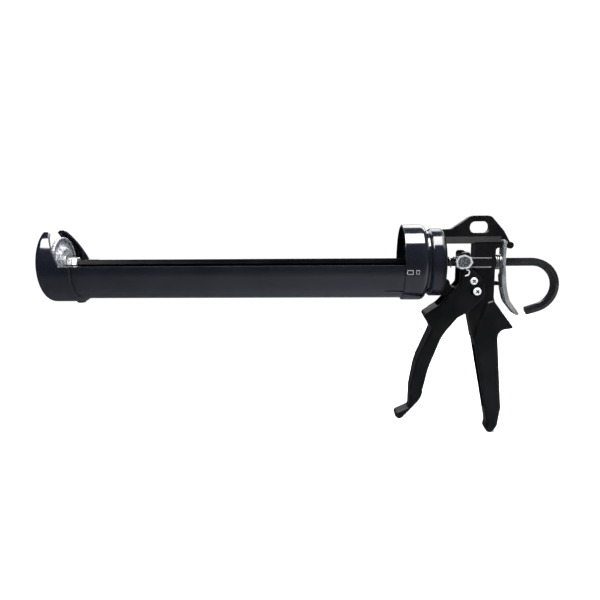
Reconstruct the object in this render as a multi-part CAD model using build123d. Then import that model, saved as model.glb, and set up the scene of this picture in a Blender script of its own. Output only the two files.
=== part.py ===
from build123d import *
import os
from math import cos, radians, sin, sqrt

# Caulking gun with a rotating half-round cradle, in millimetres.
# The origin is on the gun's axis at the outer face of the nose plate, where the cartridge's nozzle
# comes out. +X runs back along the push rod to the handle, +Z is up and the handle hangs down.

# Cradle, nose and rear cup (sheet steel around a 50 mm cartridge)
CRADLE_R = 27.6
CRADLE_SHEET = 1.3
CRADLE_EDGE_Z = 0.66
CRADLE_START_X = 6.0
CRADLE_END_X = 291.0
SEAT_GAP = 0.1
NOSE_R = 30.0
NOSE_SHEET = NOSE_R - CRADLE_R - SEAT_GAP
NOSE_LENGTH = 26.7
NOSE_CORNER_R = 4.7
EAR_TOP_Z = 26.3
EAR_INNER_Y = 13.3
NOZZLE_SLOT_R = 11.5
NOSE_RIVET_X = 22.5
NOSE_RIVET_R = 1.8
CUP_R = 29.25
CUP_START_X = 279.8
CUP_END_X = 297.6
CUP_SHEET = CUP_R - CRADLE_R - SEAT_GAP
CUP_CORNER_R = 4.5

# Swivel between the rear cup and the frame
BUSH_R = 8.0
BUSH_BORE_R = 3.95
BUSH_FLANGE_R = 13.0
BUSH_END_X = 313.6
BUSH_RIVET_R = 1.1
BUSH_RIVET_CIRCLE_R = 10.7
SPRING_SEAT_X = 303.0
SPRING_SEAT_R = 4.9
SWIVEL_CLEARANCE = 0.05
WASHER_R = 24.5
RING_X = 311.8
RING_THICKNESS = 1.0
RING_GROOVE_R = 7.1

# Frame casting
BOSS_R = 26.15
BOSS_START_X = 299.5
BOSS_END_X = 310.2
BOSS_BACK_X = 311.5
WEB_HALF = 6.0
ARCH_HALF = 3.0
BAR_BOTTOM_Z = 14.8
BAR_TOP_Z = 19.9
BLOCK_FRONT_X = 335.2
LEVER_SLOT_X = 355.8
BLOCK_BACK_X = 351.4
GUIDE_RIB_HALF = 6.9
GUIDE_RIB_HEIGHT = 7.6
RIDGE_Z = 3.5
RIDGE_R = 0.55
GRIP_HALF = 9.0
TOE_HALF = 6.2

# Push rod
ROD_FLATS = 6.0
ROD_R = ROD_FLATS / 2 / cos(radians(30))
ROD_BORE_R = 3.9
ROD_THREAD_R = 2.45
ROD_TIP_X = 8.6
ROD_SHOULDER_X = 23.2
HOOK_START_X = 380.9
HOOK_R = 18.5
HOOK_TURN = 162.0
HOOK_TAIL = 9.0

# Piston
PISTON_R = 21.5
PISTON_X = 8.0
PISTON_SHEET = 1.4

# Trigger and pawl
ARM_INNER = 7.2
ARM_OUTER = 10.0
PIVOT = (334.6, -13.6)
STOP = (337.4, -21.7)
SCREW_R = 2.2
SCREW_CLEARANCE = 0.06
TRIGGER_TRAVEL = 20.0
PAWL = (327.4, 1.2)
PAWL_TRAVEL = 5.2
PAWL_FRONT_X = 324.2
CAP_MIDDLE_X = 326.4
TRUNNION_R = 2.0
SLOT_GAP = 0.3

# Release lever
LEVER_HALF = 6.2
LEVER_HINGE = (358.8, 15.5)
LEVER_ROLL_R = 1.3


def corner_face(corners, plane=Plane.XZ):
    """A closed face from corners given as (first, second, rounding radius)."""
    points = [(a, b) for a, b, _ in corners]
    rounding = [radius for _, _, radius in corners]
    return plane * make_face(FilletPolyline(*points, radius=rounding, close=True))


def plate(corners, half_width):
    """A plate lying in the gun's plane of symmetry, as thick on both sides of it."""
    return extrude(corner_face(corners), amount=half_width, both=True)


def turned(corners):
    """A ring turned about the gun's axis from corners given as (x, radius, rounding)."""
    return revolve(corner_face(corners, Plane.XY), Axis.X)


def tube(start_x, end_x, outer_r, inner_r):
    return turned([(start_x, inner_r, 0), (end_x, inner_r, 0), (end_x, outer_r, 0), (start_x, outer_r, 0)])


def rod_along_x(start_x, end_x, radius, y=0, z=0):
    place = Plane(origin=(start_x, y, z), x_dir=(0, 1, 0), z_dir=(1, 0, 0))
    return extrude(place * Circle(radius), amount=end_x - start_x)


def rod_across(x, z, radius, start_y, end_y):
    place = Plane(origin=(x, start_y, z), x_dir=(1, 0, 0), z_dir=(0, 1, 0))
    return extrude(place * Circle(radius), amount=end_y - start_y)


def rod_along_z(x, low_z, high_z, radius):
    return extrude(Plane.XY.offset(low_z) * Pos(x, 0) * Circle(radius), amount=high_z - low_z)


def block(low, high):
    size = [b - a for a, b in zip(low, high)]
    middle = [(a + b) / 2 for a, b in zip(low, high)]
    return Pos(*middle) * Box(*size)


def hexagon_on_x(start_x, end_x, flats, bore_r):
    place = Plane(origin=(start_x, 0, 0), x_dir=(0, 1, 0), z_dir=(1, 0, 0))
    nut = extrude(place * RegularPolygon(flats / 2 / cos(radians(30)), 6), amount=end_x - start_x)
    nut = chamfer(nut.faces().filter_by(Axis.X).edges(), 0.4)
    return nut - rod_along_x(start_x - 1, end_x + 1, bore_r)


# ---- cradle body ----

def make_cradle():
    channel = tube(CRADLE_START_X, CRADLE_END_X, CRADLE_R, CRADLE_R - CRADLE_SHEET)
    channel -= block((0, -40, CRADLE_EDGE_Z), (CRADLE_END_X + 5, 40, 40))
    return channel - rod_along_z(NOSE_RIVET_X, -40, 0, NOSE_RIVET_R)


def make_nose_cup():
    """A pressed cup whose side walls stand up as two ears either side of the nozzle slot."""
    inner_r = CRADLE_R + SEAT_GAP
    cup = turned([
        (0, 0.01, 0), (0, NOSE_R, NOSE_CORNER_R), (NOSE_LENGTH, NOSE_R, 0),
        (NOSE_LENGTH, inner_r, 0), (NOSE_SHEET, inner_r, NOSE_CORNER_R - NOSE_SHEET), (NOSE_SHEET, 0.01, 0),
    ])
    flare = make_face(Polyline(*slot_flare(), close=True)) & Circle(inner_r)
    between_ears = Pos(0, 30) * Rectangle(2 * EAR_INNER_Y, 30)
    slot = Plane.YZ * (Circle(NOZZLE_SLOT_R) + flare)
    cup -= extrude(slot, amount=2 * NOSE_CORNER_R, both=True)
    cup -= extrude(Plane.YZ * between_ears, amount=40, both=True)
    above_edge = corner_face([
        (-5, EAR_TOP_Z, 0), (6.5, EAR_TOP_Z, 1.5), (19.0, CRADLE_EDGE_Z, 1.0),
        (NOSE_LENGTH + 5, CRADLE_EDGE_Z, 0), (NOSE_LENGTH + 5, 40, 0), (-5, 40, 0),
    ])
    cup -= extrude(above_edge, amount=40, both=True)
    return cup - rod_along_z(NOSE_RIVET_X, -40, 0, NOSE_RIVET_R)


def slot_flare():
    """The slot's straight sides, which leave the round seat as tangents and open towards the ears."""
    mouth_y = 20.0
    mouth_z = 22.0
    distance = sqrt(mouth_y ** 2 + mouth_z ** 2)
    tangent = sqrt(distance ** 2 - NOZZLE_SLOT_R ** 2)
    along = NOZZLE_SLOT_R ** 2 / distance ** 2
    across = NOZZLE_SLOT_R * tangent / distance ** 2
    seat_y = along * mouth_y + across * mouth_z
    seat_z = along * mouth_z - across * mouth_y
    return [
        (seat_y, seat_z), (mouth_y, mouth_z), (mouth_y, 40),
        (-mouth_y, 40), (-mouth_y, mouth_z), (-seat_y, seat_z),
    ]


def make_nose_rivet():
    """A low domed rivet through the nose cup and the bottom of the cradle."""
    dome_r = 3.6
    outside = -NOSE_R - 0.05
    inside = -CRADLE_R + CRADLE_SHEET + 0.2
    shank = rod_along_z(NOSE_RIVET_X, outside, inside, NOSE_RIVET_R - 0.02)
    foot = rod_along_z(NOSE_RIVET_X, outside - 1.3, outside, dome_r)
    foot = fillet(foot.faces().sort_by(Axis.Z)[0].edges(), 1.1)
    upset = rod_along_z(NOSE_RIVET_X, inside, inside + 0.9, 2.8)
    upset = fillet(upset.faces().sort_by(Axis.Z)[-1].edges(), 0.6)
    return shank + foot + upset


def make_rear_cup():
    inner_r = CUP_R - CUP_SHEET
    cup = turned([
        (CUP_START_X, inner_r, 0), (CUP_START_X, CUP_R, 0.3), (CUP_END_X, CUP_R, CUP_CORNER_R),
        (CUP_END_X, BUSH_R + 0.1, 0), (CUP_END_X - CUP_SHEET, BUSH_R + 0.1, 0),
        (CUP_END_X - CUP_SHEET, inner_r, CUP_CORNER_R - CUP_SHEET),
    ])
    for x, y, z in bush_rivet_places():
        cup -= rod_along_x(CUP_END_X - 5, CUP_END_X + 1, BUSH_RIVET_R, y, z)
    return cup


def bush_rivet_places():
    start_x = CUP_END_X - CUP_SHEET - 2.2
    turns = [radians(45 + 90 * i) for i in range(4)]
    return [(start_x, BUSH_RIVET_CIRCLE_R * cos(a), BUSH_RIVET_CIRCLE_R * sin(a)) for a in turns]


def make_swivel_bush():
    """A flanged tube: the flange is riveted inside the cup and the tube turns in the frame."""
    flange_back_x = CUP_END_X - CUP_SHEET - 0.05
    flange_front_x = flange_back_x - 2.1
    bush = turned([
        (flange_front_x, BUSH_BORE_R, 0), (flange_front_x, BUSH_FLANGE_R, 0.5),
        (flange_back_x, BUSH_FLANGE_R, 0), (flange_back_x, BUSH_R, 0),
        (RING_X, BUSH_R, 0), (RING_X, RING_GROOVE_R, 0),
        (RING_X + RING_THICKNESS + 0.1, RING_GROOVE_R, 0), (RING_X + RING_THICKNESS + 0.1, BUSH_R, 0),
        (BUSH_END_X, BUSH_R, 0.3), (BUSH_END_X, SPRING_SEAT_R, 0),
        (SPRING_SEAT_X, SPRING_SEAT_R, 0), (SPRING_SEAT_X, BUSH_BORE_R, 0),
    ])
    for x, y, z in bush_rivet_places():
        bush -= rod_along_x(x - 1, x + 5, BUSH_RIVET_R, y, z)
    return bush


def make_bush_rivets():
    rivets = []
    for x, y, z in bush_rivet_places():
        shank = rod_along_x(x, CUP_END_X, BUSH_RIVET_R - 0.02, y, z)
        head = rod_along_x(x - 0.8, x, 1.9, y, z)
        head = fillet(head.faces().sort_by(Axis.X)[0].edges(), 0.5)
        rivets.append(shank + head)
    return Compound(children=rivets)


def make_cup_tabs():
    """Folded tabs that clinch the cradle's side edges to the outside of the rear cup."""
    tabs = []
    for side in (-1, 1):
        for start_x, end_x in ((280.9, 285.3), (287.6, 289.8)):
            ring = tube(start_x, end_x, CUP_R + 0.75, CUP_R + 0.02)
            keep = block((start_x - 1, 20, -6.0), (end_x + 1, 40, -2.8))
            if side < 0:
                keep = keep.mirror(Plane.XZ)
            tabs.append(ring & keep)
    return Compound(children=tabs)


def make_swivel_ring():
    """An open retaining ring in the bush's groove, behind the frame's boss."""
    ring = tube(RING_X + 0.05, RING_X + 0.05 + RING_THICKNESS, 10.0, RING_GROOVE_R + 0.05)
    return ring - block((RING_X - 1, -2.2, 0), (RING_X + 3, 2.2, 15))


# ---- frame body ----

def make_boss():
    """The round boss that the cradle turns on, hollow at the back around its hub."""
    bore_r = BUSH_R + SWIVEL_CLEARANCE
    boss = turned([
        (BOSS_START_X, bore_r, 0), (BOSS_START_X, BOSS_R - 1.9, 0.6), (BOSS_START_X + 1.9, BOSS_R, 1.0),
        (BOSS_END_X, BOSS_R, 1.0), (BOSS_BACK_X, BOSS_R - 3.2, 0.6), (BOSS_BACK_X, bore_r, 0),
    ])
    return boss - tube(BOSS_BACK_X - 7.0, BOSS_BACK_X + 1, 20.5, 12.0)


def make_arch():
    """The thin hanging arch on top, with its tail curling down behind the release lever."""
    bead = (363.1, 13.1)
    bead_r = 2.6
    arch = plate([
        (308.0, 15.5, 0), (308.0, 25.3, 0), (318.0, 25.8, 5.0), (332.6, 35.9, 10.0), (347.6, 35.9, 5.0),
        (358.0, 24.0, 12.0), (364.9, 11.4, 1.0), (361.6, 11.6, 1.0), (360.7, 17.4, 0.8),
        (350.0, 17.4, 0), (350.0, 15.5, 0),
    ], ARCH_HALF)
    arch += rod_across(*bead, bead_r, -ARCH_HALF, ARCH_HALF)
    slot = RectangleRounded(15.0, 8.9, 4.0)
    slot_place = Plane(origin=(339.2, 0, 27.05), x_dir=(1, 0, 0), z_dir=(0, 1, 0))
    return arch - extrude(slot_place * slot, amount=10, both=True)


def make_bar():
    """The bar over the window, whose shoulders slope in to the thin arch."""
    section = Plane.YZ * make_face(Polyline(
        (-WEB_HALF, BAR_BOTTOM_Z), (WEB_HALF, BAR_BOTTOM_Z), (WEB_HALF, BAR_BOTTOM_Z + 0.5),
        (ARCH_HALF, BAR_TOP_Z), (-ARCH_HALF, BAR_TOP_Z), (-WEB_HALF, BAR_BOTTOM_Z + 0.5), close=True,
    ))
    start_x = 308.0
    return Pos(start_x, 0, 0) * extrude(section, amount=LEVER_SLOT_X - start_x)


def make_neck():
    """The rear block that guides the rod, the web below the window and the neck of the handle."""
    return plate([
        (BLOCK_FRONT_X, 16.0, 0), (BLOCK_FRONT_X, -3.0, 2.0), (329.0, -8.0, 3.0), (327.0, -19.6, 3.0),
        (318.2, -18.9, 1.5), (316.4, -12.8, 2.4), (308.0, -12.8, 0), (308.0, -24.6, 0),
        (320.0, -28.5, 10.0), (331.8, -37.6, 1.0), (336.6, -60.0, 0), (356.0, -60.0, 0),
        (358.0, -38.4, 0), (352.4, -30.8, 5.0), (BLOCK_BACK_X, -27.0, 4.0),
        (BLOCK_BACK_X, 11.4, 2.0), (LEVER_SLOT_X, 11.4, 0), (LEVER_SLOT_X, 16.0, 0),
    ], WEB_HALF)


def make_grip():
    """The handle below the neck, with a hooked spur behind and a rounded toe."""
    grip = plate([
        (350.8, -28.9, 0.8), (346.2, -30.5, 2.0), (338.9, -50.0, 5.0), (337.2, -59.0, 3.0),
        (350.6, -129.8, 1.5), (349.6, -134.8, 2.4), (353.4, -141.4, 3.5), (359.2, -133.0, 9.0),
        (361.2, -117.0, 9.0), (355.3, -57.2, 3.0), (358.6, -52.9, 5.0), (367.9, -51.4, 1.2),
    ], GRIP_HALF)
    grip &= tapered(GRIP_HALF, -60.0, TOE_HALF, -138.0)
    grip = round_sides(grip, -60.0, 2.2)
    return grip - plate([
        (334.0, -66.0, 0), (343.5, -66.0, 2.0), (352.0, -118.0, 2.0), (344.0, -118.0, 0),
    ], GRIP_HALF - 4.8)


def tapered(top_half, top_z, toe_half, toe_z):
    """All the space between two side walls that lean in below top_z, as the casting's draft does."""
    slope = (top_half - toe_half) / (top_z - toe_z)
    low_z = toe_z - 10
    low_half = toe_half - 10 * slope
    section = Plane.YZ * make_face(Polyline(
        (-top_half, 60), (-top_half, top_z), (-low_half, low_z),
        (low_half, low_z), (top_half, top_z), (top_half, 60), close=True,
    ))
    return Pos(200, 0, 0) * extrude(section, amount=250)


def round_sides(shape, crease_z, radius):
    """Rounds the outline of both side walls, but not the crease where they start to lean in."""
    walls = shape.faces().filter_by(lambda f: abs(f.normal_at().Y) > 0.9)
    outline = walls.edges().filter_by(lambda e: any(abs(v.Z - crease_z) > 0.01 for v in e.vertices()))
    return fillet(outline, radius)


def make_nub():
    """The stop stud on the neck that the release lever meets when it is pressed home."""
    return plate([(349.0, -14.9, 0), (355.9, -15.3, 0.5), (355.9, -18.0, 0.5), (349.0, -18.4, 0)], 2.5)


def make_frame_casting():
    frame = make_boss() + make_arch() + make_bar() + make_neck() + make_grip() + make_nub()
    rib = plate([
        (331.8, GUIDE_RIB_HEIGHT / 2 + 0.2, 1.0), (348.6, GUIDE_RIB_HEIGHT / 2 + 0.2, 1.0),
        (348.6, -GUIDE_RIB_HEIGHT / 2 + 0.2, 1.0), (331.8, -GUIDE_RIB_HEIGHT / 2 + 0.2, 1.0),
    ], GUIDE_RIB_HALF)
    frame += rib
    for z in (-RIDGE_Z, RIDGE_Z):
        for y in (-GUIDE_RIB_HALF, GUIDE_RIB_HALF):
            frame += rod_along_x(332.4, 348.0, RIDGE_R, y, z + 0.2)
    frame -= rod_along_x(BOSS_START_X - 1, BOSS_BACK_X + 3, BUSH_R + SWIVEL_CLEARANCE)
    frame -= rod_along_x(330.0, 352.0, ROD_BORE_R)
    for x, z in (PIVOT, STOP):
        frame -= rod_across(x, z, SCREW_R + 0.02, -20, 20)
    return frame


def make_swivel_washer():
    return turned([
        (CUP_END_X + 0.1, BUSH_R + 0.15, 0), (CUP_END_X + 0.1, WASHER_R, 0.3),
        (BOSS_START_X - 0.02, WASHER_R, 0.3), (BOSS_START_X - 0.02, BUSH_R + 0.15, 0),
    ])


def make_screw(x, z, head_r):
    """A pan-head machine screw through both trigger arms, with a cross recess in its head."""
    head_y = -ARM_OUTER - 0.2
    shank = rod_across(x, z, SCREW_R, head_y, ARM_OUTER + 3.4)
    head = rod_across(x, z, head_r, head_y - 1.7, head_y)
    head = fillet(head.faces().sort_by(Axis.Y)[0].edges(), 1.4)
    for turn in (45, 135):
        blade = Pos(x, head_y - 1.7, z) * Rot(0, turn, 0) * Box(3.4, 2.0, 1.1)
        head -= blade
    return shank + head


def make_screw_nut(x, z):
    place = Plane(origin=(x, ARM_OUTER + 0.2, z), x_dir=(1, 0, 0), z_dir=(0, 1, 0))
    nut = extrude(place * RegularPolygon(3.6, 6), amount=2.4)
    nut = chamfer(nut.faces().filter_by(Axis.Y).edges(), 0.3)
    return nut - rod_across(x, z, SCREW_R + 0.02, 0, 20)


def make_coil(start_x, end_x, mean_r, wire_r, turns):
    """A compression spring on the rod, with plain ends."""
    length = end_x - start_x - 2 * wire_r
    helix = Helix(pitch=length / turns, height=length, radius=mean_r)
    wire = sweep(Plane(origin=helix @ 0, z_dir=helix % 0) * Circle(wire_r), helix, is_frenet=True)
    return Pos(start_x + wire_r, 0, 0) * Rot(0, 90, 0) * wire


# ---- trigger body ----

def make_trigger():
    trigger = plate([
        (324.2, 8.8, 2.0), (331.4, 8.8, 2.5), (331.6, -3.5, 5.0), (342.6, -12.5, 6.5),
        (344.2, -25.5, 8.0), (331.6, -38.2, 1.0), (323.4, -42.8, 6.0), (312.2, -56.8, 40.0),
        (302.0, -84.5, 60.0), (297.6, -109.5, 22.0), (280.4, -128.6, 3.4), (275.2, -122.9, 2.6),
        (287.8, -117.0, 2.5), (288.2, -100.0, 30.0), (292.2, -78.0, 60.0), (303.8, -51.6, 3.5),
        (297.2, -40.4, 2.6), (309.3, -32.4, 12.0), (324.2, -15.6, 5.0),
    ], ARM_OUTER)
    trigger &= tapered(ARM_OUTER, -44.0, TOE_HALF, -126.0)
    trigger = round_sides(trigger, -44.0, 1.3)
    trigger -= plate([
        (300.0, -29.5, 0), (308.6, -32.6, 1.0), (304.0, -39.4, 2.5), (308.6, -51.6, 6.0),
        (295.8, -84.0, 60.0), (292.9, -104.0, 1.5), (300.0, -104.0, 0), (360.0, -60.0, 0),
        (360.0, 20.0, 0), (300.0, 20.0, 0),
    ], ARM_INNER)
    trigger -= rod_across(*PIVOT, SCREW_R + SCREW_CLEARANCE, -20, 20)
    return trigger - trunnion_slot() - stop_slot()


def turned_about_pivot(x, z, degrees):
    """Where a point fixed in the frame lies on the trigger after it is pulled by an angle."""
    a = radians(degrees)
    dx = x - PIVOT[0]
    dz = z - PIVOT[1]
    return (PIVOT[0] + dx * cos(a) + dz * sin(a), PIVOT[1] + dz * cos(a) - dx * sin(a))


def slot_along(points, radius):
    """A slot through both arms for a pin that passes along a short run of points."""
    cutter = rod_across(*points[0], radius, -20, 20)
    for (x0, z0), (x1, z1) in zip(points, points[1:]):
        cutter += rod_across(x1, z1, radius, -20, 20)
        length = sqrt((x1 - x0) ** 2 + (z1 - z0) ** 2)
        across = ((z1 - z0) / length * radius, (x0 - x1) / length * radius)
        cutter += plate([
            (x0 + across[0], z0 + across[1], 0), (x1 + across[0], z1 + across[1], 0),
            (x1 - across[0], z1 - across[1], 0), (x0 - across[0], z0 - across[1], 0),
        ], 20)
    return cutter


def trunnion_slot():
    """The pawl slides straight while the arms swing, so its pins climb this slot."""
    steps = 4
    points = []
    for i in range(steps + 1):
        share = i / steps
        x = PAWL[0] - PAWL_TRAVEL * share
        points.append(turned_about_pivot(x, PAWL[1], TRIGGER_TRAVEL * share))
    return slot_along(points, TRUNNION_R + SLOT_GAP)


def stop_slot():
    steps = 3
    points = [turned_about_pivot(*STOP, TRIGGER_TRAVEL * i / steps) for i in range(steps + 1)]
    return slot_along(points, SCREW_R + SLOT_GAP)


# ---- pawl body ----

def make_drive_pawl():
    """The block on the rod that the trigger pushes forward."""
    pawl = plate([
        (PAWL_FRONT_X, 7.0, 1.0), (331.2, 7.0, 1.2), (331.2, -5.2, 1.2), (PAWL_FRONT_X, -5.2, 1.0),
    ], ARM_INNER - 0.5)
    pawl -= rod_along_x(320, 333, ROD_BORE_R)
    return pawl - rod_across(*PAWL, TRUNNION_R, -20, -4.6) - rod_across(*PAWL, TRUNNION_R, 4.6, 20)


def make_trunnion_pins():
    near = rod_across(*PAWL, TRUNNION_R - 0.02, -ARM_OUTER - 0.4, -4.65)
    far = chamfer(near.faces().sort_by(Axis.Y)[0].edges(), 0.4)
    return Compound(children=[near, far.mirror(Plane.XZ)])


def make_trunnion_cap():
    """The cast octagonal cap on the near pin's outer end, with a raised rim."""
    x, z = CAP_MIDDLE_X, PAWL[1]
    corners = [
        (x - 6.4, z + 0.6, 0.6), (x - 4.4, z + 4.4, 0.6), (x + 0.4, z + 5.6, 0.6), (x + 5.0, z + 3.6, 0.6),
        (x + 6.5, z - 0.6, 0.6), (x + 3.8, z - 4.6, 0.6), (x - 1.8, z - 5.5, 0.6), (x - 5.4, z - 4.0, 0.6),
    ]
    inset = [(x + (a - x) * 0.78, z + (b - z) * 0.78, 0.5) for a, b, _ in corners]
    face_y = ARM_OUTER + 2.4
    place = Plane.XZ.offset(ARM_OUTER + 0.4)
    cap = extrude(corner_face(corners, place), amount=2.0)
    return cap - extrude(corner_face(inset, Plane.XZ.offset(face_y - 0.6)), amount=2.0)


def make_pawl_clip():
    """A small wire clip that hangs from the near cap."""
    y = -ARM_OUTER - 0.9
    path = FilletPolyline((328.3, y, -4.6), (330.9, y, -5.4), (330.3, y, -8.6), (327.4, y, -9.6), radius=1.3)
    return sweep(Plane(origin=path @ 0, z_dir=path % 0) * Circle(0.45), path)


# ---- lever body ----

def make_release_lever():
    """The sprung catch plate behind the frame, rolled at the top, with ribs down its edges and middle."""
    lever = plate([
        (357.9, 15.5, 0), (357.5, 9.0, 20.0), (357.6, -1.0, 20.0), (358.6, -12.0, 30.0),
        (359.4, -20.5, 30.0), (362.0, -30.5, 12.0), (370.2, -41.4, 0.6), (371.6, -40.3, 0.6),
        (363.6, -29.6, 12.0), (361.0, -20.2, 30.0), (360.2, -11.7, 30.0), (359.2, -0.7, 20.0),
        (359.3, 9.0, 20.0), (359.7, 15.5, 0),
    ], LEVER_HALF)
    ribs = plate([
        (358.0, -9.0, 0), (357.3, -11.5, 1.0), (358.4, -21.5, 30.0), (361.0, -31.2, 12.0),
        (369.2, -41.6, 0.8), (370.9, -41.0, 0), (362.8, -30.2, 12.0), (360.2, -20.4, 30.0),
        (359.2, -9.0, 0),
    ], LEVER_HALF)
    ribs -= block((350, 1.0, -50), (380, LEVER_HALF - 1.6, 0))
    ribs -= block((350, -LEVER_HALF + 1.6, -50), (380, -1.0, 0))
    ribs -= block((350, -3.2, -20.0), (380, 3.2, 0))
    top = block((350, ARCH_HALF + 2.4, 11.5), (365, 20, 30))
    rolled_edge = rod_across(*LEVER_HINGE, LEVER_ROLL_R, -LEVER_HALF, LEVER_HALF)
    lever = lever + ribs + rolled_edge - top - top.mirror(Plane.XZ)
    return lever - rod_along_x(350, 370, 4.2)


# ---- rod body ----

def make_push_rod():
    """A hexagonal bar bent into a hook behind the handle, turned down at its front end."""
    end = radians(90 - HOOK_TURN)
    centre = Vector(HOOK_START_X, 0, -HOOK_R)
    bend_end = centre + Vector(HOOK_R * cos(end), 0, HOOK_R * sin(end))
    middle = radians(90 - HOOK_TURN / 2)
    bend_middle = centre + Vector(HOOK_R * cos(middle), 0, HOOK_R * sin(middle))
    tail_end = bend_end + Vector(sin(end), 0, -cos(end)) * HOOK_TAIL
    bend = ThreePointArc((HOOK_START_X, 0, 0), bend_middle, bend_end)
    path = Line((ROD_SHOULDER_X, 0, 0), (HOOK_START_X, 0, 0)) + bend + Line(bend_end, tail_end)
    place = Plane(origin=(ROD_SHOULDER_X, 0, 0), x_dir=(0, 1, 0), z_dir=(1, 0, 0))
    bar = sweep(place * RegularPolygon(ROD_R, 6), path)
    tip = rod_along_x(ROD_TIP_X, ROD_SHOULDER_X + 0.5, ROD_THREAD_R)
    tip = chamfer(tip.faces().sort_by(Axis.X)[0].edges(), 0.5)
    return bar + tip


def make_piston_plate():
    """A pressed plate with a rolled rim and a raised middle, clamped on the rod."""
    front = PISTON_X
    back = PISTON_X + 3.6 + PISTON_SHEET
    hole = ROD_THREAD_R + 0.02
    return turned([
        (front + 3.6, hole, 0), (front + 3.6, 10.4, 1.0), (front, 15.0, 1.0), (front, PISTON_R, 1.2),
        (front + 3.2, PISTON_R, 0.5), (front + 3.2, PISTON_R - 1.5, 0.5),
        (front + 1.8, PISTON_R - 1.9, 0.3), (front + 1.8, 15.6, 1.0),
        (back, 12.0, 1.4), (back, hole, 0),
    ])


def make_piston_washer():
    start_x = PISTON_X + 3.6 + PISTON_SHEET + 0.02
    return tube(start_x, start_x + 1.3, 8.0, ROD_THREAD_R + 0.02)


def write(name, shape):
    shape.label = name
    export_step(shape, f"parts/{name}.step")
    box = shape.bounding_box()
    print(name, [round(v, 1) for v in (*box.min, *box.max)], round(shape.volume))


def main():
    os.makedirs("parts", exist_ok=True)
    nut_bore = ROD_THREAD_R + 0.02
    nodes = {
        "cradle": make_cradle(),
        "nose_cup": make_nose_cup(),
        "nose_rivet": make_nose_rivet(),
        "rear_cup": make_rear_cup(),
        "cup_tabs": make_cup_tabs(),
        "swivel_bush": make_swivel_bush(),
        "bush_rivets": make_bush_rivets(),
        "swivel_ring": make_swivel_ring(),
        "swivel_washer": make_swivel_washer(),
        "frame_casting": make_frame_casting(),
        "pivot_screw": make_screw(*PIVOT, 2.8),
        "pivot_nut": make_screw_nut(*PIVOT),
        "stop_screw": make_screw(*STOP, 3.0),
        "stop_nut": make_screw_nut(*STOP),
        "drive_spring": make_coil(SPRING_SEAT_X + 0.1, PAWL_FRONT_X - 0.1, 4.05, 0.45, 4.5),
        "catch_spring": make_coil(BLOCK_BACK_X + 0.3, 357.3, 5.3, 0.6, 3.5),
        "trigger": make_trigger(),
        "drive_pawl": make_drive_pawl(),
        "trunnion_pins": make_trunnion_pins(),
        "trunnion_cap": make_trunnion_cap(),
        "pawl_clip": make_pawl_clip(),
        "release_lever": make_release_lever(),
        "push_rod": make_push_rod(),
        "piston_plate": make_piston_plate(),
        "piston_front_nut": hexagon_on_x(8.9, 11.5, 8.0, nut_bore),
        "piston_washer": make_piston_washer(),
        "piston_nut": hexagon_on_x(14.4, 18.3, 10.0, nut_bore),
        "piston_jam_nut": hexagon_on_x(18.5, 22.6, 10.0, nut_bore),
    }
    for name, shape in nodes.items():
        write(name, shape)


main()
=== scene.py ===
"""Looks, studio and camera of the caulking gun. Metres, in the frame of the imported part."""

import math

import bmesh
import bpy
from mathutils import Matrix, Vector


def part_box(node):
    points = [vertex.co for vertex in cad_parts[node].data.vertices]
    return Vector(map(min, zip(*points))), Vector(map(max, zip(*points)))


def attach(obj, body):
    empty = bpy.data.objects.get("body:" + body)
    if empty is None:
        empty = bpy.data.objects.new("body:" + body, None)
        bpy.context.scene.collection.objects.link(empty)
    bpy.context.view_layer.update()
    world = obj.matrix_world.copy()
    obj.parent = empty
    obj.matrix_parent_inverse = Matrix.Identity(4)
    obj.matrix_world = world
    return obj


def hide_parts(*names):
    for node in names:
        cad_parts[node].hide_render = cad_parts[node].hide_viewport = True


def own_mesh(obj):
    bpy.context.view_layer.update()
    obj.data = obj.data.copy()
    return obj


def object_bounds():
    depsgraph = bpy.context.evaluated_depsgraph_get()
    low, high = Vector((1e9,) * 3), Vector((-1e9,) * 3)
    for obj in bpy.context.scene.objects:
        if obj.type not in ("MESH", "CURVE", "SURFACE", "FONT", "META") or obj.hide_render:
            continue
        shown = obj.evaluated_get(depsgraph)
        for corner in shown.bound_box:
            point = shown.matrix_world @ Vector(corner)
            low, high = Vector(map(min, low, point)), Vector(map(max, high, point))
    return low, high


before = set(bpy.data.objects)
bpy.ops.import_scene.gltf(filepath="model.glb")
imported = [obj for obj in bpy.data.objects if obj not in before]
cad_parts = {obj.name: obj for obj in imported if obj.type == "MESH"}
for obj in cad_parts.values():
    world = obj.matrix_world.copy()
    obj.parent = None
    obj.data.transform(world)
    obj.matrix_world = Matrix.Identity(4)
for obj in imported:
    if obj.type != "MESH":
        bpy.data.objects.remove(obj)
cad_low, cad_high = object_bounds()
FLOOR_Z = cad_low.z

# ---------------------------------------------------------------- camera

CAMERA_AT = Vector((0.2200, -0.4511, 0.0475))
CAMERA_TURN = math.radians(-2.51)
CAMERA_DOWN = math.radians(9.72)
CAMERA_ROLL = math.radians(-0.55)
CAMERA_LENS = 34.33


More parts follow.
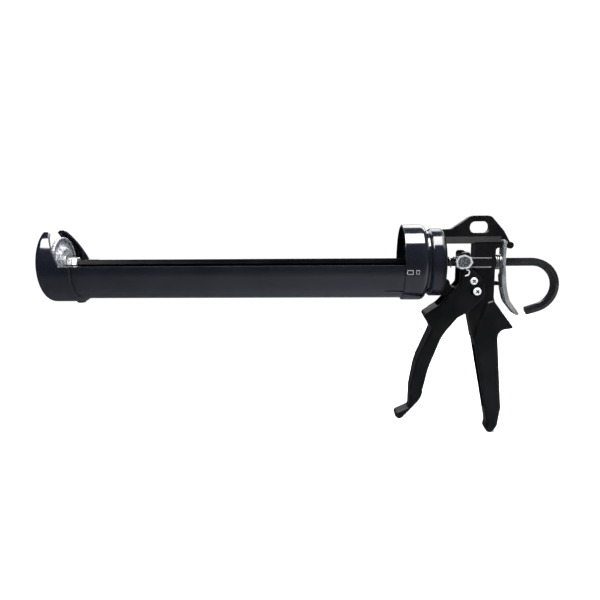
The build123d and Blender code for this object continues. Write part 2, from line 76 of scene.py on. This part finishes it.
def make_camera():
    ahead = Vector((
        math.sin(CAMERA_TURN) * math.cos(CAMERA_DOWN),
        math.cos(CAMERA_TURN) * math.cos(CAMERA_DOWN),
        -math.sin(CAMERA_DOWN),
    ))
    level = Vector((math.cos(CAMERA_TURN), -math.sin(CAMERA_TURN), 0.0))
    above = level.cross(ahead)
    right = math.cos(CAMERA_ROLL) * level + math.sin(CAMERA_ROLL) * above
    up = math.cos(CAMERA_ROLL) * above - math.sin(CAMERA_ROLL) * level
    turn = Matrix((right, up, -ahead)).transposed().to_4x4()
    data = bpy.data.cameras.new("camera")
    data.sensor_width = 36.0
    data.lens = CAMERA_LENS
    data.clip_start = 0.01
    camera = bpy.data.objects.new("camera", data)
    camera.matrix_world = Matrix.Translation(CAMERA_AT) @ turn
    bpy.context.scene.collection.objects.link(camera)
    bpy.context.scene.camera = camera


# ---------------------------------------------------------------- node helpers


class Nodes:
    """A node tree with short calls for the nodes used here."""

    def __init__(self, tree):
        self.tree = tree

    def new(self, kind, **values):
        made = self.tree.nodes.new(kind)
        for key, value in values.items():
            setattr(made, key, value)
        return made

    def link(self, source, target):
        self.tree.links.new(source, target)

    def put(self, socket, value):
        if isinstance(value, bpy.types.NodeSocket):
            self.link(value, socket)
        else:
            socket.default_value = value

    def math(self, operation, first, second=0.0):
        made = self.new("ShaderNodeMath", operation=operation)
        self.put(made.inputs[0], first)
        self.put(made.inputs[1], second)
        return made.outputs[0]

    def product(self, *factors):
        result = factors[0]
        for factor in factors[1:]:
            result = self.math("MULTIPLY", result, factor)
        return result

    def split(self, vector):
        made = self.new("ShaderNodeSeparateXYZ")
        self.link(vector, made.inputs[0])
        return made.outputs[0], made.outputs[1], made.outputs[2]

    def place(self):
        return self.new("ShaderNodeTexCoord").outputs["Object"]

    def scaled(self, vector, scale):
        made = self.new("ShaderNodeMapping")
        self.link(vector, made.inputs["Vector"])
        made.inputs["Scale"].default_value = scale
        return made.outputs[0]

    def noise(self, vector, scale, detail=3.0, roughness=0.5):
        made = self.new("ShaderNodeTexNoise")
        self.link(vector, made.inputs["Vector"])
        made.inputs["Scale"].default_value = scale
        made.inputs["Detail"].default_value = detail
        made.inputs["Roughness"].default_value = roughness
        return made.outputs[0]

    def cells(self, vector, scale):
        made = self.new("ShaderNodeTexVoronoi", feature="F1")
        self.link(vector, made.inputs["Vector"])
        made.inputs["Scale"].default_value = scale
        return made.outputs["Distance"]

    def span(self, value, low, high, out_low=0.0, out_high=1.0):
        made = self.new("ShaderNodeMapRange", interpolation_type="SMOOTHSTEP")
        self.link(value, made.inputs["Value"])
        made.inputs["From Min"].default_value = low
        made.inputs["From Max"].default_value = high
        made.inputs["To Min"].default_value = out_low
        made.inputs["To Max"].default_value = out_high
        return made.outputs["Result"]

    def blend(self, factor, first, second):
        made = self.new("ShaderNodeMix", data_type="RGBA")
        self.put(made.inputs[0], factor)
        self.put(made.inputs[6], first)
        self.put(made.inputs[7], second)
        return made.outputs[2]

    def edges(self, radius, low=0.02, high=0.25):
        """1 on the sharp edges and 0 on open surface."""
        rounded = self.new("ShaderNodeBevel", samples=4)
        rounded.inputs["Radius"].default_value = radius
        facing = self.new("ShaderNodeNewGeometry")
        across = self.new("ShaderNodeVectorMath", operation="DOT_PRODUCT")
        self.link(rounded.outputs["Normal"], across.inputs[0])
        self.link(facing.outputs["Normal"], across.inputs[1])
        return self.span(self.math("SUBTRACT", 1.0, across.outputs["Value"]), low, high)

    def bump(self, height, distance, strength, under=None):
        made = self.new("ShaderNodeBump")
        self.link(height, made.inputs["Height"])
        made.inputs["Distance"].default_value = distance
        made.inputs["Strength"].default_value = strength
        if under is not None:
            self.link(under, made.inputs["Normal"])
        return made.outputs["Normal"]


def rgb(red, green, blue):
    return (red, green, blue, 1.0)


def shader_of(material):
    return material.node_tree.nodes["Principled BSDF"]


def new_material(name):
    material = bpy.data.materials.new(name)
    material.use_nodes = True
    return material, Nodes(material.node_tree), shader_of(material)


def lay_over(material, factor, colour):
    """Mixes a colour over the one that a material already has."""
    n = Nodes(material.node_tree)
    base = shader_of(material).inputs["Base Color"]
    n.link(n.blend(factor, base.links[0].from_socket, colour), base)


# ---------------------------------------------------------------- materials

PAINT_DARK = rgb(0.0032, 0.0038, 0.0066)
PAINT_LIGHT = rgb(0.0048, 0.0056, 0.0092)
SATIN_DARK = rgb(0.0020, 0.0020, 0.0024)
SATIN_LIGHT = rgb(0.0038, 0.0038, 0.0044)
# Light grey on sharp edges: worn-through paint, and on the cradle a painted highlight along its cut edges.
EDGE_WEAR_AND_HIGHLIGHT = rgb(0.060, 0.062, 0.068)
# Lighter grey on the nose cup's rear rim: painted light over the shade of the rim's edge face.
RIM_PAINTED_LIGHT = rgb(0.014, 0.015, 0.019)
# Light grey painted along the guide ridges as their highlight.
RIDGE_PAINTED_HIGHLIGHT = rgb(0.10, 0.10, 0.11)
# Near black painted into screw recesses as their shade.
RECESS_PAINTED_SHADE = rgb(0.03, 0.03, 0.032)

# Where the frame casting's paint changes.
GLOSS_END_X = 0.3065
GLOSS_FADE = 0.003
SHOULDER_Y = 0.00302
SHOULDER_LOW_Z = 0.0146
SHOULDER_HIGH_Z = 0.0201
RIDGE_Y = 0.0071
RIDGE_START_X = 0.330
RIDGE_LOW_Z = -0.006

# From here back the rod is polished by hands, and it fades to dull in front.
ROD_POLISHED_X = 0.312
ROD_FADE = 0.02


def gloss_enamel(name, edge_wear_and_highlight_from, rim_x=None):
    """Baked gloss enamel on pressed sheet: faint orange peel, dust nibs, rubbed patches and chipped edges.

    The second argument sets how much of the sharp edges turns light grey: at 0.52 this is sparse chipped
    paint, and lower it becomes a painted highlight along nearly all the cut edges. rim_x is the X of a cut
    end whose rear rim is lightened with painted light over its shade.
    """
    material, n, shader = new_material(name)
    at = n.place()
    patches = n.noise(at, 28.0, 3.0)
    colour = n.blend(n.span(patches, 0.35, 0.65), PAINT_DARK, PAINT_LIGHT)
    # Light edges: chipped paint, and at a low threshold a painted highlight along the cut edges.
    worn_and_highlit_edges = n.product(n.edges(0.0005), n.span(n.noise(at, 420.0, 4.0), edge_wear_and_highlight_from, edge_wear_and_highlight_from + 0.14))
    colour = n.blend(worn_and_highlit_edges, colour, EDGE_WEAR_AND_HIGHLIGHT)
    # Painted light: the rear rim of the cut end is lightened over the shade of its edge face.
    if rim_x is not None:
        x = n.split(at)[0]
        rim = n.span(x, rim_x - 0.0004, rim_x - 0.0001)
        uneven = n.span(n.noise(at, 300.0, 3.0), 0.2, 0.6, 0.6, 1.0)
        colour = n.blend(n.product(rim, uneven), colour, RIM_PAINTED_LIGHT)
    n.link(colour, shader.inputs["Base Color"])
    rubbed = n.span(n.noise(n.scaled(at, (0.35, 1.0, 1.0)), 95.0, 4.0), 0.40, 0.72, 0.09, 0.18)
    n.link(rubbed, shader.inputs["Roughness"])
    peel = n.noise(at, 520.0, 1.5)
    nibs = n.span(n.cells(at, 260.0), 0.0, 0.10, 1.0, 0.0)
    waves = n.bump(peel, 0.00002, 0.55)
    n.link(n.bump(nibs, 0.00002, 0.35, waves), shader.inputs["Normal"])
    shader.inputs["Specular IOR Level"].default_value = 0.5
    shader.inputs["Coat Weight"].default_value = 0.5
    shader.inputs["Coat Roughness"].default_value = 0.04
    return material


def satin_paint(n, at):
    """Colour and roughness of softly mottled satin black paint."""
    mottle = n.noise(at, 60.0, 5.0, 0.6)
    colour = n.blend(n.span(mottle, 0.35, 0.68), SATIN_DARK, SATIN_LIGHT)
    return colour, n.span(mottle, 0.3, 0.7, 0.28, 0.38)


def thin_on_edges(n, at, colour):
    """The paint's colour with its sharp edges worn through in places."""
    worn = n.product(n.edges(0.0006), n.span(n.noise(at, 300.0, 4.0), 0.56, 0.70))
    return n.blend(worn, colour, EDGE_WEAR_AND_HIGHLIGHT)


def casting_grain(n, at):
    """The fine grain and the pits of a die casting under its paint."""
    grain = n.bump(n.noise(at, 900.0, 3.0), 0.00002, 0.4)
    pits = n.span(n.cells(at, 420.0), 0.02, 0.20)
    return n.bump(pits, 0.00002, 0.25, grain)


def trigger_paint():
    """Satin black paint over a die casting."""
    material, n, shader = new_material("trigger_casting_paint")
    at = n.place()
    colour, rough = satin_paint(n, at)
    n.link(thin_on_edges(n, at, colour), shader.inputs["Base Color"])
    n.link(rough, shader.inputs["Roughness"])
    n.link(casting_grain(n, at), shader.inputs["Normal"])
    shader.inputs["Specular IOR Level"].default_value = 0.3
    return material


def frame_paint():
    """The same paint, but glossy on the boss, dull on the bar's shoulders and with a painted highlight along
    the ridges.
    """
    material, n, shader = new_material("frame_casting_paint")
    at = n.place()
    x, y, z = n.split(at)
    outward = n.math("ABSOLUTE", y)
    colour, rough = satin_paint(n, at)
    satin = n.span(x, GLOSS_END_X, GLOSS_END_X + GLOSS_FADE)
    colour = thin_on_edges(n, at, n.blend(satin, PAINT_LIGHT, colour))
    rough = n.product(rough, n.span(satin, 0.0, 1.0, 0.34, 1.0))
    shoulder = n.product(
        satin,
        n.math("GREATER_THAN", outward, SHOULDER_Y),
        n.math("GREATER_THAN", z, SHOULDER_LOW_Z),
        n.math("LESS_THAN", z, SHOULDER_HIGH_Z),
    )
    shine = n.math("SUBTRACT", n.span(satin, 0.0, 1.0, 0.5, 0.3), n.product(shoulder, 0.22))
    # Painted highlight along the outer edges of the guide ridges, broken up by noise.
    ridge = n.product(
        n.span(outward, RIDGE_Y, RIDGE_Y + 0.0002),
        n.math("GREATER_THAN", x, RIDGE_START_X),
        n.math("GREATER_THAN", z, RIDGE_LOW_Z),
        n.span(n.noise(at, 700.0, 3.0), 0.30, 0.55, 0.25, 1.0),
    )
    n.link(n.blend(ridge, colour, RIDGE_PAINTED_HIGHLIGHT), shader.inputs["Base Color"])
    n.link(rough, shader.inputs["Roughness"])
    n.link(shine, shader.inputs["Specular IOR Level"])
    n.link(casting_grain(n, at), shader.inputs["Normal"])
    return material


def black_oxide():
    """Drawn steel, blackened and oiled: faint long draw lines, and a duller front than the handled back."""
    material, n, shader = new_material("black_oxide_steel")
    at = n.place()
    x = n.split(at)[0]
    handled = n.span(x, ROD_POLISHED_X - ROD_FADE, ROD_POLISHED_X)
    drawn = n.noise(n.scaled(at, (6.0, 900.0, 900.0)), 1.0, 3.0)
    patch = n.span(n.noise(at, 34.0, 4.0), 0.35, 0.68)
    dull = n.blend(patch, rgb(0.0010, 0.0010, 0.0014), rgb(0.0026, 0.0026, 0.0032))
    polished = n.blend(patch, rgb(0.005, 0.005, 0.006), rgb(0.010, 0.010, 0.011))
    colour = n.blend(handled, dull, polished)
    rubbed = n.product(
        n.edges(0.0004),
        n.span(n.noise(at, 160.0, 3.0), 0.45, 0.65),
        n.span(handled, 0.0, 1.0, 0.2, 1.0),
    )
    n.link(n.blend(rubbed, colour, rgb(0.06, 0.06, 0.065)), shader.inputs["Base Color"])
    n.link(n.span(drawn, 0.3, 0.7, 0.08, 0.15), shader.inputs["Roughness"])
    n.link(n.bump(drawn, 0.000002, 0.2), shader.inputs["Normal"])
    n.link(n.span(handled, 0.0, 1.0, 0.06, 0.28), shader.inputs["Specular IOR Level"])
    return material


def zinc_plate(
    name, tone=1.0, grain=900.0, relief=0.00003, metallic=0.85, speckle=0.0, clean_y=None, flute=None,
):
    """Bright zinc plate: faint bluish spangle, dull spots, fine grain and polished edges.

    With speckle come dark specks, fainter at Y below clean_y. The flute is the width of upright flutes.
    """
    material, n, shader = new_material(name)
    at = n.place()
    y = n.split(at)[1]
    patch = n.noise(at, 120.0, 4.0)
    light = rgb(0.74 * tone, 0.75 * tone, 0.77 * tone)
    dull = rgb(0.50 * tone, 0.51 * tone, 0.54 * tone)
    colour = n.blend(n.span(patch, 0.36, 0.64), dull, light)
    if speckle:
        specks = n.product(n.span(n.noise(at, 850.0, 5.0, 0.7), 0.46, 0.53), speckle)
        if clean_y is not None:
            specks = n.product(specks, n.span(y, clean_y - 0.002, clean_y + 0.002, 0.15, 1.0))
        colour = n.blend(specks, colour, rgb(0.03, 0.03, 0.035))
    polished = n.product(n.edges(0.0004), 0.6)
    n.link(n.blend(polished, colour, rgb(0.9, 0.9, 0.92)), shader.inputs["Base Color"])
    fine = n.noise(at, grain, 4.0)
    n.link(n.span(fine, 0.3, 0.7, 0.26, 0.44), shader.inputs["Roughness"])
    surface = n.bump(fine, relief, 0.6)
    if flute is not None:
        waves = n.math("SINE", n.product(y, 2.0 * math.pi / flute))
        surface = n.bump(waves, 0.00012, 0.8, surface)
    n.link(surface, shader.inputs["Normal"])
    shader.inputs["Metallic"].default_value = metallic
    return material


def bright_zinc(name):
    """Clean, pale plate on screws and pins."""
    return zinc_plate(name, tone=1.12, relief=0.00002, metallic=0.35)


def rimmed_cap(node):
    """A cast cap: its raised rim is polished and its sunk face is rough and blotched."""
    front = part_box(node)[0].y
    material = zinc_plate(
        node + "_zinc", tone=0.36, grain=1500.0, relief=0.00008, metallic=0.5, speckle=1.0,
    )
    n = Nodes(material.node_tree)
    at = n.place()
    y = n.split(at)[1]
    rim = n.span(y, front + 0.0002, front + 0.0004, 1.0, 0.0)
    uneven = n.span(n.noise(at, 500.0, 3.0), 0.30, 0.50, 0.5, 1.0)
    lay_over(material, n.product(rim, uneven), rgb(0.62, 0.63, 0.65))
    return material


def cross_head(node):
    """A plated screw whose cross recess is darkened with painted shade."""
    low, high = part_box(node)
    material = bright_zinc(node + "_zinc")
    n = Nodes(material.node_tree)
    x, y, z = n.split(n.place())
    off_x = n.math("SUBTRACT", x, (low.x + high.x) / 2)
    off_z = n.math("SUBTRACT", z, (low.z + high.z) / 2)
    radius = n.math("SQRT", n.math("ADD", n.product(off_x, off_x), n.product(off_z, off_z)))
    # Painted shade: the floor of the cross recess is darkened.
    recess = n.product(
        n.span(radius, 0.0017, 0.0019, 1.0, 0.0),
        n.span(y, low.y + 0.0002, low.y + 0.0004),
        n.math("LESS_THAN", y, low.y + 0.0015),
    )
    lay_over(material, recess, RECESS_PAINTED_SHADE)
    return material


def turned_zinc():
    """The piston plate: rings left by the lathe, crossed by grinding marks."""
    material, n, shader = new_material("turned_zinc")
    at = n.place()
    _, y, z = n.split(at)
    radius = n.math("SQRT", n.math("ADD", n.product(y, y), n.product(z, z)))
    wobble = n.product(n.noise(at, 260.0, 3.0), 0.0006)
    rings = n.math("SINE", n.product(n.math("ADD", radius, wobble), 9000.0))
    slanted = n.new("ShaderNodeVectorRotate", rotation_type="X_AXIS")
    n.link(at, slanted.inputs["Vector"])
    slanted.inputs["Angle"].default_value = math.radians(35.0)
    one_way = n.noise(n.scaled(slanted.outputs[0], (1.0, 1.0, 4.0)), 300.0, 4.0)
    other_way = n.noise(n.scaled(slanted.outputs[0], (1.0, 4.0, 1.0)), 300.0, 4.0)
    ground = n.math("ADD", n.product(one_way, 0.5), n.product(other_way, 0.5))
    patch = n.noise(at, 90.0, 4.0)
    colour = n.blend(n.span(patch, 0.34, 0.66), rgb(0.32, 0.34, 0.37), rgb(0.48, 0.50, 0.53))
    scored = n.span(ground, 0.46, 0.53, 0.9, 0.0)
    n.link(n.blend(scored, colour, rgb(0.07, 0.08, 0.09)), shader.inputs["Base Color"])
    n.link(n.span(ground, 0.35, 0.65, 0.34, 0.52), shader.inputs["Roughness"])
    turned = n.bump(rings, 0.00002, 0.4)
    n.link(n.bump(ground, 0.00012, 0.6, turned), shader.inputs["Normal"])
    shader.inputs["Metallic"].default_value = 0.35
    return material


def rubbed_tab():
    """Painted tabs of the cup, their outlines rubbed down to bright metal."""
    material, n, shader = new_material("rubbed_tab")
    at = n.place()
    uneven = n.span(n.noise(at, 900.0, 4.0), 0.30, 0.50, 0.45, 1.0)
    ragged = n.product(n.edges(0.0007, 0.01, 0.10), uneven)
    n.link(n.blend(ragged, PAINT_LIGHT, rgb(0.86, 0.87, 0.90)), shader.inputs["Base Color"])
    n.link(n.product(ragged, 0.3), shader.inputs["Metallic"])
    n.link(n.span(ragged, 0.0, 1.0, 0.14, 0.35), shader.inputs["Roughness"])
    n.link(n.bump(n.noise(at, 700.0, 3.0), 0.00002, 0.5), shader.inputs["Normal"])
    return material


def spring_wire():
    """Drawn spring wire, lightly blued."""
    material, n, shader = new_material("spring_wire")
    at = n.place()
    patch = n.noise(at, 200.0, 4.0)
    colour = n.blend(n.span(patch, 0.35, 0.65), rgb(0.30, 0.30, 0.31), rgb(0.48, 0.48, 0.49))
    n.link(colour, shader.inputs["Base Color"])
    n.link(n.span(n.noise(at, 1200.0, 3.0), 0.3, 0.7, 0.22, 0.40), shader.inputs["Roughness"])
    n.link(n.bump(n.noise(at, 2400.0, 3.0), 0.00001, 0.5), shader.inputs["Normal"])
    shader.inputs["Metallic"].default_value = 1.0
    return material


# ---------------------------------------------------------------- coil springs

WIRE_SIDES = 14
STEPS_PER_TURN = 40
CLOSED_PITCH = 2.05  # in wire radii, for the first and last turn

DRIVE_WIRE = 0.00045
DRIVE_TURNS = 5.5

CATCH_WIRE = 0.00050
CATCH_TURNS = 3.6


def coil_route(start_x, end_x, coil_radius, wire_radius, turns):
    """The middle of the wire: a helix about the X axis whose first and last turn are closed up."""
    steps = int(turns * STEPS_PER_TURN)
    first, last = start_x + wire_radius, end_x - wire_radius
    pitch = CLOSED_PITCH * wire_radius
    centres = []
    for i in range(steps + 1):
        turn = turns * i / steps
        from_end = min(turn, turns - turn)
        closed = min(from_end, 1.0) * pitch
        if from_end < 1.0:
            x = first + closed if turn < turns / 2 else last - closed
        else:
            share = (turn - 1.0) / (turns - 2.0)
            x = first + pitch + share * (last - first - 2.0 * pitch)
        angle = 2.0 * math.pi * turn
        centres.append(Vector((x, coil_radius * math.cos(angle), coil_radius * math.sin(angle))))
    return centres


def coil(name, route, wire_radius, material):
    """Round wire along a route about the X axis, with flat ends."""
    mesh = bpy.data.meshes.new(name)
    shape = bmesh.new()
    rings = []
    for i, centre in enumerate(route):
        before, after = route[max(i - 1, 0)], route[min(i + 1, len(route) - 1)]
        along = (after - before).normalized()
        outward = Vector((0.0, centre.y, centre.z)).normalized()
        outward = (outward - along * outward.dot(along)).normalized()
        side = along.cross(outward)
        ring = []
        for k in range(WIRE_SIDES):
            a = 2.0 * math.pi * k / WIRE_SIDES
            ring.append(shape.verts.new(centre + wire_radius * (math.cos(a) * outward + math.sin(a) * side)))
        rings.append(ring)
    for one, two in zip(rings, rings[1:]):
        for k in range(WIRE_SIDES):
            beside = (k + 1) % WIRE_SIDES
            face = shape.faces.new((one[k], one[beside], two[beside], two[k]))
            face.smooth = True
    shape.faces.new(list(reversed(rings[0])))
    shape.faces.new(rings[-1])
    bmesh.ops.recalc_face_normals(shape, faces=shape.faces)
    shape.to_mesh(mesh)
    shape.free()
    mesh.materials.append(material)
    made = bpy.data.objects.new(name, mesh)
    bpy.context.scene.collection.objects.link(made)
    return made


# ---------------------------------------------------------------- dress the parts


def dress(node, material):
    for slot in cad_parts[node].material_slots:
        slot.material = material


def dress_all():
    enamel = gloss_enamel("gloss_enamel", 0.52)
    for node in ("rear_cup", "nose_rivet", "swivel_washer"):
        dress(node, enamel)
    nose_end_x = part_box("nose_cup")[1].x
    # The nose cup's rear rim gets painted light over its shade.
    dress("nose_cup", gloss_enamel("gloss_enamel_rim_painted_light", 0.52, nose_end_x))
    # The cradle's low threshold lightens nearly all its edges: a painted highlight along the cut sheet
    # edges, with some chipped paint.
    dress("cradle", gloss_enamel("gloss_enamel_chipped_edges_and_painted_highlight", 0.25))
    dress("cup_tabs", rubbed_tab())
    dress("frame_casting", frame_paint())
    dress("trigger", trigger_paint())
    oxide = black_oxide()
    for node in ("push_rod", "drive_pawl"):
        dress(node, oxide)
    zinc = zinc_plate("zinc_plate")
    for node in ("swivel_bush", "swivel_ring", "bush_rivets"):
        dress(node, zinc)
    bright = bright_zinc("bright_zinc")
    for node in ("pivot_nut", "stop_nut", "trunnion_pins", "pawl_clip"):
        dress(node, bright)
    for node in ("pivot_screw", "stop_screw"):
        dress(node, cross_head(node))
    dress("trunnion_cap", rimmed_cap("trunnion_cap"))
    dress("release_lever", zinc_plate(
        "lever_zinc", tone=0.60, grain=700.0, metallic=0.7, speckle=0.85, clean_y=-0.001, flute=0.0021,
    ))
    dress("piston_plate", turned_zinc())
    nut_zinc = zinc_plate("nut_zinc", tone=0.72, relief=0.00004, speckle=0.5)
    for node in ("piston_front_nut", "piston_washer", "piston_nut", "piston_jam_nut"):
        dress(node, nut_zinc)


def add_spring(node, wire_radius, turns, material):
    """A coil in place of a spring's plain sleeve, attached to the frame body."""
    low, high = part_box(node)
    route = coil_route(low.x, high.x, high.y - wire_radius, wire_radius, turns)
    spring = coil(node + "_coil", route, wire_radius, material)
    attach(spring, "frame")
    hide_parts(node)
    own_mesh(spring)


def add_springs():
    wire = spring_wire()
    add_spring("drive_spring", DRIVE_WIRE, DRIVE_TURNS, wire)
    add_spring("catch_spring", CATCH_WIRE, CATCH_TURNS, wire)


# ---------------------------------------------------------------- studio


def area_light(name, at, towards, size, radiance, turn=0.0):
    data = bpy.data.lights.new(name, "AREA")
    data.shape = "RECTANGLE"
    data.size, data.size_y = size
    data.energy = radiance * math.pi * size[0] * size[1]
    light = bpy.data.objects.new(name, data)
    light.location = at
    facing = (Vector(towards) - Vector(at)).to_track_quat("-Z", "Y").to_matrix()
    light.rotation_euler = (facing @ Matrix.Rotation(turn, 3, "Z")).to_euler()
    light.visible_camera = False
    bpy.context.scene.collection.objects.link(light)


FLOOR_R = 0.70
FLOOR_X = 0.20
FLOOR_Y = -0.10
FLOOR_SIDES = 96


def make_floor():
    mesh = bpy.data.meshes.new("floor")
    corners = []
    for i in range(FLOOR_SIDES):
        angle = 2.0 * math.pi * i / FLOOR_SIDES
        corners.append((FLOOR_X + FLOOR_R * math.cos(angle), FLOOR_Y + FLOOR_R * math.sin(angle), FLOOR_Z))
    mesh.from_pydata(corners, [], [list(range(FLOOR_SIDES))])
    floor = bpy.data.objects.new("floor", mesh)
    bpy.context.scene.collection.objects.link(floor)
    material, n, shader = new_material("floor_paper")
    at = n.place()
    tone = n.blend(n.span(n.noise(at, 3.0, 3.0), 0.4, 0.6), rgb(0.80, 0.80, 0.80), rgb(0.83, 0.83, 0.83))
    n.link(tone, shader.inputs["Base Color"])
    shader.inputs["Roughness"].default_value = 0.9
    shader.inputs["Specular IOR Level"].default_value = 0.0
    shader.inputs["Emission Color"].default_value = rgb(1.0, 1.0, 1.0)
    shader.inputs["Emission Strength"].default_value = 0.45
    mesh.materials.append(material)
    floor.visible_glossy = False


# How bright the room is by the angle about the X axis: 0 is straight in front, 90 above and -90 below.
SKY = (
    (-180, 0.10),
    (-125, 0.18),
    (-105, 0.34),
    (-42, 0.44),
    (-24, 0.14),
    (0, 0.07),
    (90, 0.07),
    (180, 0.07),
)
ROOM_TINT = (0.93, 0.99, 1.07)


def make_world():
    """A room that is white below, dim in front, lighter to the right, and white where the camera looks."""
    world = bpy.data.worlds.new("studio")
    world.use_nodes = True
    bpy.context.scene.world = world
    n = Nodes(world.node_tree)
    room = world.node_tree.nodes["Background"]
    out = world.node_tree.nodes["World Output"]
    x, y, z = n.split(n.new("ShaderNodeTexCoord").outputs["Generated"])
    turn = n.math("ARCTAN2", z, n.product(y, -1.0))
    share = n.math("ADD", n.math("DIVIDE", turn, 2.0 * math.pi), 0.5)
    ramp = n.new("ShaderNodeValToRGB")
    n.link(share, ramp.inputs[0])
    stops = ramp.color_ramp.elements
    while len(stops) < len(SKY):
        stops.new(0.5)
    for stop, (angle, value) in zip(stops, SKY):
        stop.position = (angle + 180.0) / 360.0
        stop.color = [value * part for part in ROOM_TINT] + [1.0]
    n.link(ramp.outputs[0], room.inputs["Color"])
    sideways = n.math("ADD", n.product(x, 1.2), 1.0)
    n.link(n.math("MAXIMUM", sideways, 0.3), room.inputs["Strength"])
    seen = n.new("ShaderNodeBackground")
    seen.inputs["Color"].default_value = rgb(1.0, 1.0, 1.0)
    seen.inputs["Strength"].default_value = 1.05
    both = n.new("ShaderNodeMixShader")
    n.link(n.new("ShaderNodeLightPath").outputs["Is Camera Ray"], both.inputs[0])
    n.link(room.outputs[0], both.inputs[1])
    n.link(seen.outputs[0], both.inputs[2])
    n.link(both.outputs[0], out.inputs["Surface"])


def make_studio():
    make_world()
    make_floor()
    area_light(
        "softbox_top",
        at=(0.10, -0.18, 0.75),
        towards=(0.10, -0.18, 0.0),
        size=(1.20, 0.48),
        radiance=20.0,
        turn=math.radians(13.0),
    )
    area_light(
        "softbox_back",
        at=(0.2, 0.95, 0.62),
        towards=(0.2, 0.0, 0.0),
        size=(1.60, 0.50),
        radiance=3.5,
    )
    bpy.context.scene.view_settings.view_transform = "Standard"


make_camera()
dress_all()
add_springs()
make_studio()
